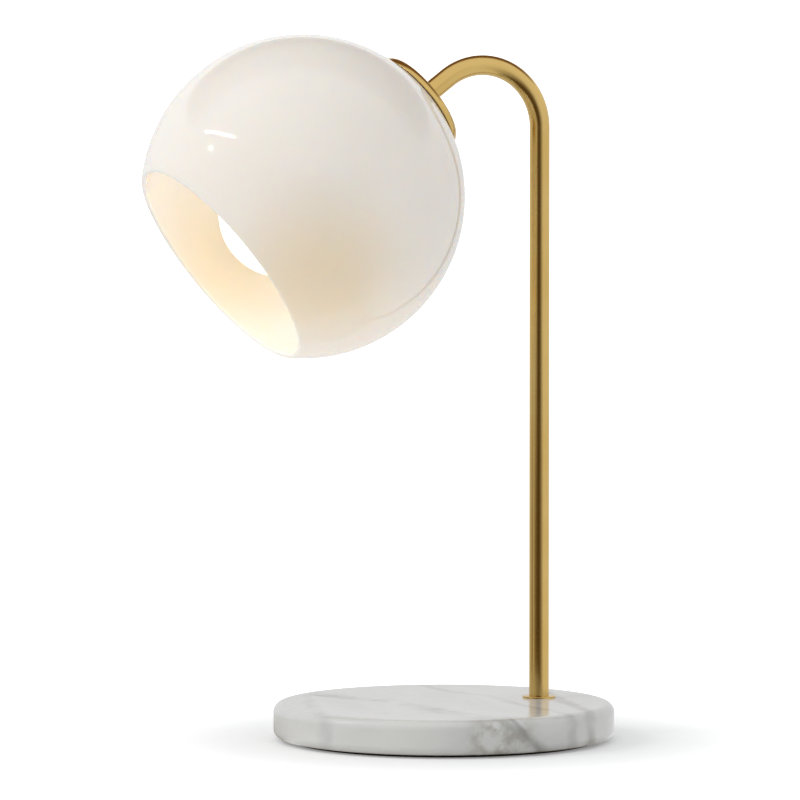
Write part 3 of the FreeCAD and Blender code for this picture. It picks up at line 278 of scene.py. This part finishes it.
def marble():
    """White marble, polished: clouded ground, soft grey veins that run through the slab, brown traces."""
    finish = Finish("marble", IOR=1.5)
    place = finish.object_place
    wander = finish.add(
        "ShaderNodeTexNoise", {"Vector": place, "Scale": 14.0, "Detail": 5.0, "Roughness": 0.55}
    )
    shift = finish.less(wander.outputs["Color"], (0.5, 0.5, 0.5))
    bent = finish.add(
        "ShaderNodeVectorMath", {0: shift, 1: (VEIN_WANDER,) * 3, 2: place}, operation="MULTIPLY_ADD"
    ).outputs[0]
    cloud = finish.noise(16, 6, 0.6, finish.stretched((1.0, 0.45, 1.0)), 0.8)
    ground = finish.mixed(finish.between(cloud, 0.32, 0.72), rgb(0.79, 0.787, 0.757), rgb(0.69, 0.69, 0.67))
    # Each vein is a crumpled sheet through the stone: its slope across the base, its place and its width.
    veins = [
        ((1.0, 0.2, 1.87), 0.008, 0.006, 0.6, rgb(0.36, 0.36, 0.34)),
        ((1.0, 0.32, 1.0), -0.012, 0.0022, 0.6, rgb(0.33, 0.33, 0.33)),
        ((1.0, 0.09, 0.0), 0.0375, 0.0028, 0.5, rgb(0.42, 0.415, 0.40)),
        ((1.0, -0.167, 0.0), 0.0785, 0.0034, 0.75, rgb(0.36, 0.34, 0.31)),
        ((1.0, -0.35, 0.1), -0.088, 0.003, 0.4, rgb(0.46, 0.46, 0.46)),
    ]
    strength = finish.noise(22, 3, 0.6)
    for slope, offset, width, weight, colour in veins:
        away = finish.sum("ABSOLUTE", finish.sum("SUBTRACT", finish.dot(bent, slope), offset))
        mask = finish.between(away, width * 0.15, width * 2.2, weight, 0.0)
        mask = finish.sum("MULTIPLY", mask, finish.between(strength, 0.34, 0.62))
        ground = finish.mixed(mask, ground, colour)
    # Brown traces in the front of the rim.
    reach = finish.distance(place, RUST_PLACE)
    rusty = finish.between(finish.noise(48, 4, 0.6), 0.4, 0.6)
    rust = finish.sum("MULTIPLY", finish.between(reach, 0.008, 0.034, 0.6, 0.0), rusty)
    ground = finish.mixed(rust, ground, rgb(0.31, 0.285, 0.22))
    finish.drive("Base Color", ground)
    finish.drive("Roughness", finish.between(finish.noise(40, 3), 0.3, 0.7, 0.13, 0.2))
    finish.bump(finish.noise(120, 3, 0.6), 0.02 * MM)
    return finish.material


def lit_bulb():
    """The bulb's opal envelope, lit evenly from inside."""
    finish = Finish(
        "bulb_diffuser",
        Base_Color=rgb(0.93, 0.91, 0.87),
        Roughness=0.3,
        Emission_Strength=1.6,
    )
    patch = finish.noise(30, 2)
    pale, warm = rgb(1.0, 0.925, 0.83), rgb(1.0, 0.905, 0.8)
    finish.drive("Emission Color", finish.mixed(finish.between(patch, 0.3, 0.7), pale, warm))
    finish.drive("Roughness", finish.between(patch, 0.3, 0.7, 0.25, 0.35))
    return finish.material


def foam():
    finish = Finish("foam", Roughness=0.95)
    inputs = {"Vector": finish.object_place, "Scale": 900.0}
    cells = finish.add("ShaderNodeTexVoronoi", inputs).outputs["Distance"]
    finish.drive("Base Color", finish.mixed(cells, rgb(0.035, 0.034, 0.032), rgb(0.012, 0.012, 0.012)))
    finish.bump(cells, 0.3 * MM)
    return finish.material


MATERIALS = {
    "opal_glass": opal_glass(),
    "satin_brass": satin_brass(),
    "marble": marble(),
    "bulb_diffuser": lit_bulb(),
    "foam": foam(),
}
METALS = [
    # slot, colour, darker colour, roughness, grain per metre
    ("steel", rgb(0.60, 0.61, 0.62), rgb(0.42, 0.42, 0.43), 0.32, 900),
    ("nickel_shell", rgb(0.70, 0.67, 0.62), rgb(0.5, 0.48, 0.44), 0.22, 700),
    ("solder", rgb(0.66, 0.66, 0.66), rgb(0.4, 0.4, 0.4), 0.4, 1200),
    ("contact_brass", rgb(0.74, 0.53, 0.2), rgb(0.5, 0.33, 0.1), 0.3, 800),
]
OTHERS = [
    ("black_nylon", rgb(0.022, 0.022, 0.023), rgb(0.035, 0.034, 0.033), 0.5, 1500),
    ("natural_nylon", rgb(0.78, 0.76, 0.70), rgb(0.68, 0.65, 0.58), 0.45, 900),
    ("lead_brown", rgb(0.16, 0.065, 0.028), rgb(0.11, 0.04, 0.018), 0.4, 1100),
    ("lead_blue", rgb(0.03, 0.11, 0.36), rgb(0.02, 0.075, 0.26), 0.4, 1100),
    ("soft_ring", rgb(0.74, 0.73, 0.70), rgb(0.62, 0.61, 0.58), 0.75, 1300),
    ("phenolic", rgb(0.03, 0.028, 0.026), rgb(0.05, 0.045, 0.04), 0.35, 1000),
    ("porcelain", rgb(0.86, 0.85, 0.81), rgb(0.76, 0.74, 0.69), 0.16, 500),
    ("bulb_housing", rgb(0.84, 0.84, 0.825), rgb(0.74, 0.73, 0.71), 0.3, 900),
    ("led_board", rgb(0.82, 0.82, 0.80), rgb(0.66, 0.66, 0.62), 0.5, 1200),
    ("black_glass", rgb(0.012, 0.012, 0.014), rgb(0.02, 0.02, 0.024), 0.1, 600),
]
MATERIALS.update({row[0]: cast_or_moulded(*row, Metallic=1.0) for row in METALS})
MATERIALS.update({row[0]: cast_or_moulded(*row) for row in OTHERS})
BRUSHED_TUBE = satin_brass("satin_brass_tube", "brushed")


def dress_cad_nodes():
    """Every CAD node keeps its mesh and takes its slot's finish."""
    for part in frame["record"]["subparts"]:
        node = frame["nodes"][part["node"]]
        for slot in node.material_slots:
            slot.material = MATERIALS[part["material_slot"]]


# ---------------------------------------------------------------- pieces made here
def arc(centre, radius, first, last, steps):
    """Points round centre, from the angle first to last, both from the r axis and counter-clockwise."""
    angles = np.linspace(first, last, steps + 1)
    return [(centre[0] + radius * math.cos(a), centre[1] + radius * math.sin(a)) for a in angles]


def turned(name, section, sides, place):
    """A closed ring of a section, given as (radius, height) points, turned once round its axis."""
    around = np.linspace(0, math.tau, sides, endpoint=False)
    points = np.array(section)
    rings = np.stack([
        np.outer(points[:, 0], np.cos(around)),
        np.outer(points[:, 0], np.sin(around)),
        np.repeat(points[:, 1:], sides, axis=1),
    ], axis=2).reshape(-1, 3)
    count = len(points)
    faces = []
    for step in range(count):
        low, high = step * sides, (step + 1) % count * sides
        faces += [(low + i, low + (i + 1) % sides, high + (i + 1) % sides, high + i) for i in range(sides)]
    mesh = bpy.data.meshes.new(name)
    mesh.from_pydata(rings.tolist(), [], faces)
    mesh.transform(place)
    return finished(name, mesh)


def finished(name, mesh):
    """mesh as a piece at the origin, with its faces outwards and smooth but for real edges."""
    shell = bmesh.new()
    shell.from_mesh(mesh)
    bmesh.ops.remove_doubles(shell, verts=shell.verts, dist=1e-7)
    if shell.calc_volume(signed=True) < 0:
        bmesh.ops.reverse_faces(shell, faces=shell.faces)
    shell.to_mesh(mesh)
    shell.free()
    mesh.shade_smooth()
    mesh.set_sharp_from_angle(angle=math.radians(35))
    piece = bpy.data.objects.new(name, mesh)
    bpy.context.scene.collection.objects.link(piece)
    return piece


def into_lamp(piece, material, slot, *nodes, body="lamp"):
    """piece takes its material, rides on its body and stands for its CAD nodes."""
    piece.data.materials.clear()
    piece.data.materials.append(material)
    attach(piece, body)
    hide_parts(*nodes)
    return piece


def glass_shade():
    """The blown globe: one wall from the neck to the mouth, with a melted lip."""
    inside = GLOBE_RADIUS - GLASS_WALL
    section = []
    for radius, round_radius in ((GLOBE_RADIUS, GLOBE_RADIUS - LIP_ROUND), (inside, inside + LIP_ROUND)):
        lip_height = LIP_ROUND - MOUTH_OFFSET
        lip_place = (math.sqrt(round_radius**2 - lip_height**2), lip_height)
        lean = math.atan2(lip_height, lip_place[0])
        neck = math.acos(NECK_RADIUS / radius)
        if radius == GLOBE_RADIUS:
            section += arc((0, 0), radius, neck, lean, 96)[:-1]
            section += arc(lip_place, LIP_ROUND, lean, -math.pi / 2, 8)
        else:
            section += arc(lip_place, LIP_ROUND, -math.pi / 2, lean - math.pi, 8)
            section += arc((0, 0), radius, lean, neck, 84)[1:]
    return turned("shade_glass", section, 224, HEAD_PLACE)


def brass_cap():
    """The spun cap: a shallow crown, a rounded shoulder and a softened open edge."""
    shoulder_radius = CAP_RADIUS - CAP_SHOULDER
    dome_height = CROWN - CAP_DOME
    shoulder_height = dome_height + math.sqrt((CAP_DOME - CAP_SHOULDER) ** 2 - shoulder_radius**2)
    centre = (shoulder_radius, shoulder_height)
    lean = math.atan2(shoulder_height - dome_height, shoulder_radius)
    section = []
    for depth, steps in ((0, (40, 24)), (CAP_WALL, (24, 16))):
        hole = math.acos(NIPPLE_HOLE / (CAP_DOME - depth))
        low = math.asin((CAP_SEAT + CAP_EDGE_ROUND - shoulder_height) / (CAP_SHOULDER - depth))
        skin = arc((0, dome_height), CAP_DOME - depth, hole, lean, steps[0])[:-1]
        skin += arc(centre, CAP_SHOULDER - depth, lean, low, steps[1])
        section += skin if depth == 0 else skin[::-1]
        if depth == 0:
            edge = skin[-1][0]
            section += [(edge - CAP_EDGE_ROUND * 0.3, CAP_SEAT + CAP_EDGE_ROUND * 0.3)]
            section += [(edge - CAP_EDGE_ROUND, CAP_SEAT), (edge - CAP_WALL + CAP_EDGE_ROUND, CAP_SEAT)]
    return turned("brass_cap", section, 192, HEAD_PLACE)


def foot_collar():
    """The thin brass collar between tube and marble, with its top edge rounded over."""
    top = MARBLE_TOP + COLLAR_HEIGHT
    section = [(NIPPLE_HOLE, MARBLE_TOP), (COLLAR_RADIUS, MARBLE_TOP)]
    section += arc((COLLAR_RADIUS - COLLAR_ROUND, top - COLLAR_ROUND), COLLAR_ROUND, 0, math.pi / 2, 6)
    section += [(NIPPLE_HOLE, top)]
    return turned("foot_collar", section, 96, Matrix.Translation((STEM_X, 0, 0)))


def socket_of(modifier, name):
    """The identifier of a node tree's input, which is what the modifier is set by."""
    items = modifier.node_group.interface.items_tree
    return next(i.identifier for i in items if i.item_type == "SOCKET" and i.name == name)


def bent_tube_tree():
    """Geometry Nodes: a round tube along a line with one filleted corner, brushed along its length."""
    tree = bpy.data.node_groups.new("bent_tube", "GeometryNodeTree")
    sockets = [("Foot", "Vector"), ("Corner", "Vector"), ("End", "Vector"), ("Bend Radius", "Float"),
               ("Tube Radius", "Float"), ("Bend Steps", "Int"), ("Sides", "Int"), ("Finish", "Material")]
    for name, kind in sockets:
        tree.interface.new_socket(name, in_out="INPUT", socket_type="NodeSocket" + kind)
    tree.interface.new_socket("Geometry", in_out="OUTPUT", socket_type="NodeSocketGeometry")
    nodes, links = tree.nodes, tree.links
    given = nodes.new("NodeGroupInput").outputs

    def add(kind, inputs=None, **settings):
        node = nodes.new(kind)
        for key, value in settings.items():
            setattr(node, key, value)
        for key, value in (inputs or {}).items():
            if isinstance(value, bpy.types.NodeSocket):
                links.new(value, node.inputs[key])
            else:
                node.inputs[key].default_value = value
        return node

    line = add("GeometryNodeCurvePrimitiveLine", {"Start": given["Foot"], "End": given["End"]})
    three = add("GeometryNodeResampleCurve", {"Curve": line.outputs[0], "Count": 3})
    index = add("GeometryNodeInputIndex").outputs[0]
    middle = add("FunctionNodeCompare", {2: index, 3: 1}, data_type="INT", operation="EQUAL")
    cornered = add(
        "GeometryNodeSetPosition",
        {"Geometry": three.outputs[0], "Selection": middle.outputs[0], "Position": given["Corner"]},
    )
    bend = add(
        "GeometryNodeFilletCurve",
        {"Curve": cornered.outputs[0], "Radius": given["Bend Radius"], "Count": given["Bend Steps"]},
        mode="POLY",
    )
    run = add("GeometryNodeSplineParameter").outputs["Length"]
    measured = add(
        "GeometryNodeStoreNamedAttribute",
        {"Geometry": bend.outputs[0], "Name": "run", "Value": run},
        data_type="FLOAT", domain="POINT",
    )
    ring = add(
        "GeometryNodeCurvePrimitiveCircle", {"Resolution": given["Sides"], "Radius": given["Tube Radius"]}
    )
    spot = add("GeometryNodeInputPosition").outputs[0]
    marked = add(
        "GeometryNodeStoreNamedAttribute",
        {"Geometry": ring.outputs[0], "Name": "around", "Value": spot},
        data_type="FLOAT_VECTOR", domain="POINT",
    )
    swept = add("GeometryNodeCurveToMesh", {"Curve": measured.outputs[0], "Profile Curve": marked.outputs[0]})
    around = add("GeometryNodeInputNamedAttribute", {"Name": "around"}, data_type="FLOAT_VECTOR").outputs[0]
    length = add("GeometryNodeInputNamedAttribute", {"Name": "run"}, data_type="FLOAT").outputs[0]
    scaled = add("ShaderNodeVectorMath", {0: around, 1: (400, 400, 0)}, operation="MULTIPLY").outputs[0]
    parts = add("ShaderNodeSeparateXYZ", {0: scaled}).outputs
    brushed = add("ShaderNodeCombineXYZ", {0: parts[0], 1: parts[1], 2: length}).outputs[0]
    named = add(
        "GeometryNodeStoreNamedAttribute",
        {"Geometry": swept.outputs[0], "Name": "brushed", "Value": brushed},
        data_type="FLOAT_VECTOR", domain="POINT",
    )
    real = add("GeometryNodeRealizeInstances", {0: named.outputs[0]})
    painted = add("GeometryNodeSetMaterial", {"Geometry": real.outputs[0], "Material": given["Finish"]})
    links.new(painted.outputs[0], nodes.new("NodeGroupOutput").inputs[0])
    return tree


def brass_stem():
    """The stem: straight up, over the hook's even bend and down its short tail into the cap."""
    corner_rise = BEND_RADIUS * math.tan((math.pi / 2 + AXIS_TILT) / 2)
    corner = Vector((STEM_X, 0, BEND_HEIGHT + corner_rise))
    holder = bpy.data.objects.new("stem_path", bpy.data.meshes.new("stem_path"))
    bpy.context.scene.collection.objects.link(holder)
    modifier = holder.modifiers.new("bent_tube", "NODES")
    modifier.node_group = bent_tube_tree()
    for name, value in (
        ("Foot", (STEM_X, 0, MARBLE_TOP + COLLAR_HEIGHT)), ("Corner", corner), ("End", HOOK_END),
        ("Bend Radius", BEND_RADIUS), ("Tube Radius", TUBE_RADIUS), ("Bend Steps", 64), ("Sides", 96),
        ("Finish", BRUSHED_TUBE),
    ):
        modifier[socket_of(modifier, name)] = value
    wall = holder.modifiers.new("wall", "SOLIDIFY")
    wall.thickness, wall.offset, wall.use_rim = TUBE_WALL, -1, True
    mesh = bpy.data.meshes.new_from_object(holder.evaluated_get(bpy.context.evaluated_depsgraph_get()))
    bpy.data.objects.remove(holder)
    return finished("stem_brushed", mesh)


# ---------------------------------------------------------------- floor, world and light
def only_for_looking(tree):
    """1 for rays that come from the camera or off metal and glass, and 0 for those that light things."""
    path = tree.nodes.new("ShaderNodeLightPath")
    most = path.outputs["Is Camera Ray"]
    for name in ("Is Glossy Ray", "Is Transmission Ray"):
        larger = tree.nodes.new("ShaderNodeMath")
        larger.operation = "MAXIMUM"
        tree.links.new(most, larger.inputs[0])
        tree.links.new(path.outputs[name], larger.inputs[1])
        most = larger.outputs[0]
    return most


def white_world():
    world = bpy.data.worlds.new("studio")
    world.use_nodes = True
    tree = world.node_tree
    tree.nodes.clear()
    lit, seen, mix = (tree.nodes.new(k) for k in ("ShaderNodeBackground",) * 2 + ("ShaderNodeMixShader",))
    lit.inputs["Color"].default_value = rgb(0.97, 0.985, 1.0)
    lit.inputs["Strength"].default_value = 0.62
    seen.inputs["Color"].default_value = rgb(1, 1, 1)
    seen.inputs["Strength"].default_value = 1.0
    tree.links.new(only_for_looking(tree), mix.inputs[0])
    tree.links.new(lit.outputs[0], mix.inputs[1])
    tree.links.new(seen.outputs[0], mix.inputs[2])
    tree.links.new(mix.outputs[0], tree.nodes.new("ShaderNodeOutputWorld").inputs[0])
    bpy.context.scene.world = world


def pale_floor():
    """A wide white floor that keeps the lamp's soft shadow near its base. For the camera and for reflections
    it also gives off painted light, faint within 0.1 m of the middle and full from 0.36 m on, which washes
    the shadow out further away.
    """
    corners = [(x * FLOOR_REACH, y * FLOOR_REACH, 0) for x, y in ((-1, -1), (1, -1), (1, 1), (-1, 1))]
    mesh = bpy.data.meshes.new("floor")
    mesh.from_pydata(corners, [], [(0, 1, 2, 3)])
    floor = bpy.data.objects.new("floor", mesh)
    bpy.context.scene.collection.objects.link(floor)
    material = bpy.data.materials.new("floor")
    material.use_nodes = True
    tree = material.node_tree
    shader = tree.nodes["Principled BSDF"]
    shader.inputs["Base Color"].default_value = rgb(0.86, 0.86, 0.86)
    shader.inputs["Roughness"].default_value = 1.0
    shader.inputs["Specular IOR Level"].default_value = 0.0
    place = tree.nodes.new("ShaderNodeTexCoord").outputs["Object"]
    far = tree.nodes.new("ShaderNodeVectorMath")
    far.operation = "LENGTH"
    tree.links.new(place, far.inputs[0])
    # Painted light: the floor's own glow rises with distance from the lamp, so the floor is dimmer near the
    # base.
    glow = tree.nodes.new("ShaderNodeMapRange")
    glow.interpolation_type = "SMOOTHSTEP"
    for key, value in ((1, 0.1), (2, 0.36), (3, 0.2), (4, 1.0)):
        glow.inputs[key].default_value = value
    tree.links.new(far.outputs["Value"], glow.inputs[0])
    seen = tree.nodes.new("ShaderNodeMath")
    seen.operation = "MULTIPLY"
    tree.links.new(glow.outputs[0], seen.inputs[0])
    tree.links.new(only_for_looking(tree), seen.inputs[1])
    shader.inputs["Emission Color"].default_value = rgb(1, 1, 1)
    tree.links.new(seen.outputs[0], shader.inputs["Emission Strength"])
    mesh.materials.append(material)


def lamp_towards(name, direction, distance, size, watts, spin=0.0, glossy=False):
    """A soft box at a distance from the lamp's middle. Only a glossy one shows in glass and metal."""
    data = bpy.data.lights.new(name, "AREA")
    data.shape, data.size, data.size_y = "RECTANGLE", size[0], size[1]
    data.energy = watts
    light = bpy.data.objects.new(name, data)
    light.visible_glossy = glossy
    away = direction.normalized()
    turn = away.to_track_quat("Z", "Y").to_matrix().to_4x4() @ Matrix.Rotation(spin, 4, "Z")
    light.matrix_world = Matrix.Translation(Vector((0, 0, 0.25)) + away * distance) @ turn
    bpy.context.scene.collection.objects.link(light)


def stem_side(angle):
    """The direction that the camera's right hand leads to, turned from the camera by an angle in degrees."""
    level = Vector((BACK.x, BACK.y, 0)).normalized()
    return level * math.cos(math.radians(angle)) + RIGHT * math.sin(math.radians(angle))


def mirrored_sheet(name, rows):
    """A sheet of points in rows, which glass and metal mirror and nothing else sees or is lit by."""
    count = len(rows[0])
    faces = [(r * count + i, r * count + i + 1, (r + 1) * count + i + 1, (r + 1) * count + i)
             for r in range(len(rows) - 1) for i in range(count - 1)]
    mesh = bpy.data.meshes.new(name)
    mesh.from_pydata([point for row in rows for point in row], [], faces)
    sheet = bpy.data.objects.new(name, mesh)
    bpy.context.scene.collection.objects.link(sheet)
    for ray in ("camera", "diffuse", "transmission", "volume_scatter", "shadow"):
        setattr(sheet, "visible_" + ray, False)
    finish = Finish(name)
    finish.tree.nodes.remove(finish.shader)
    mesh.materials.append(finish.material)
    return finish


def shining(finish, colour):
    """finish gives off this colour and nothing else."""
    lit = finish.add("ShaderNodeEmission", {"Color": colour})
    out = next(node for node in finish.tree.nodes if node.type == "OUTPUT_MATERIAL")
    finish.tree.links.new(lit.outputs[0], out.inputs[0])


def glow_ramp(finish, turn, stops):
    """A colour over the angle, from stops of degrees and brightness. What is dim is warm as well."""
    node = finish.add("ShaderNodeValToRGB", {"Fac": turn})
    items = node.color_ramp.elements
    while len(items) < len(stops):
        items.new(0.5)
    for item, (angle, glow) in zip(items, stops):
        warmth = max(0, 1 - glow / 0.5)
        item.position = angle / 360 + 0.5
        item.color = rgb(glow, glow * (1 - 0.42 * warmth), glow * (1 - 0.95 * warmth))
    return node.outputs[0]


def painted_reflection_room():
    """A painted reflection for the brass: a low round screen and the floor inside it, seen only by glass and
    metal.
    Its glow follows the angle round the stem, with dark bands and a bright glint, and fades to white upwards."""
    foot = Vector((STEM_X, 0, 0))
    finish = mirrored_sheet("painted_reflection_room", [
        [foot + stem_side(angle) * reach + Vector((0, 0, height)) for angle in range(-180, 181, 5)]
        for reach, height in ((0.02, ROOM_FLOOR), (ROOM_RADIUS, ROOM_FLOOR), (ROOM_RADIUS, ROOM_HEIGHT))
    ])
    from_stem = finish.less(finish.object_place, foot)
    ahead, aside = finish.dot(from_stem, stem_side(0)), finish.dot(from_stem, RIGHT)
    turn = finish.sum("MULTIPLY_ADD", finish.sum("ARCTAN2", aside, ahead), 1 / math.tau, 0.5)
    height = finish.dot(from_stem, (0, 0, 1))
    # Painted reflection: dark bands towards the camera and a bright glint at -66 degrees, for the brass to
    # mirror.
    low = glow_ramp(finish, turn, [
        (-180, 0.78), (-125, 0.75), (-95, 0.42), (-73, 0.33), (-66, 1.0), (-59, 0.33), (-38, 0.19),
        (-18, 0.1), (6, 0.13), (27, 0.44), (50, 0.92), (125, 0.88), (180, 0.78),
    ])
    high = glow_ramp(finish, turn, [
        (-180, 0.78), (-125, 0.85), (-90, 0.76), (-40, 0.66), (-27, 0.3), (-17, 0.08), (6, 0.11),
        (22, 0.5), (42, 0.92), (125, 0.88), (180, 0.78),
    ])
    glow = finish.mixed(finish.between(height, 0.03, 0.25), low, high)
    fade = finish.between(height, ROOM_HEIGHT * 0.45, ROOM_HEIGHT)
    shining(finish, finish.mixed(fade, glow, rgb(1, 1, 1)))


def painted_dark_ceiling():
    """A painted dark reflection: a dome sheet above and behind the lamp, dark brown at its high rear end,
    seen only by brass and glass.
    """
    behind = Vector((-BACK.x, -BACK.y, 0)).normalized()

    def on_dome(rise, turn):
        rise, turn = math.radians(rise), math.radians(turn)
        level = behind * math.cos(turn) + RIGHT * math.sin(turn)
        return CEILING_MIDDLE + CEILING_RADIUS * (math.cos(rise) * level + Vector((0, 0, math.sin(rise))))

    finish = mirrored_sheet("painted_dark_ceiling", [
        [on_dome(rise, turn) for turn in range(-100, 101, 10)] for rise in range(10, 91, 8)
    ])
    away = finish.less(finish.object_place, CEILING_MIDDLE)
    raised = finish.between(finish.dot(away, (0, 0, 1)), 0.6, 2.0)
    rear = finish.between(finish.dot(away, behind), 0.15, 1.2)
    # Painted reflection: dark brown where the sheet is high and behind the lamp, white elsewhere.
    dark = finish.sum("MULTIPLY", raised, rear)
    shining(finish, finish.mixed(dark, rgb(1, 1, 1), rgb(0.2, 0.1, 0.03)))


def studio():
    bpy.context.scene.view_settings.view_transform = "Standard"
    white_world()
    pale_floor()
    lamp_towards("overhead", Vector((-0.25, -0.1, 1)), 2.4, (2.2, 2.2), 6.5)
    lamp_towards("left_box", RIGHT * -0.9 + UP * 0.5 + BACK * 0.35, 2.6, (1.2, 1.6), 8)
    strip_place = RIGHT * -0.77 + UP * 0.59 + BACK * 0.236
    spot_place = RIGHT * -0.852 + UP * 0.464 + BACK * 0.239
    lamp_towards("strip", strip_place, 2.4, (0.05, 1.0), 3, math.radians(101), glossy=True)
    lamp_towards("spot", spot_place, 2.4, (0.14, 0.1), 1.6, glossy=True)
    painted_reflection_room()
    painted_dark_ceiling()


# ---------------------------------------------------------------- putting it together
dress_cad_nodes()
into_lamp(glass_shade(), MATERIALS["opal_glass"], "opal_glass", "shade_globe")
into_lamp(brass_cap(), MATERIALS["satin_brass"], "satin_brass", "shade_cap")
into_lamp(foot_collar(), MATERIALS["satin_brass"], "satin_brass", "stem_collar")
into_lamp(brass_stem(), BRUSHED_TUBE, "satin_brass", "stem_tube")
studio()
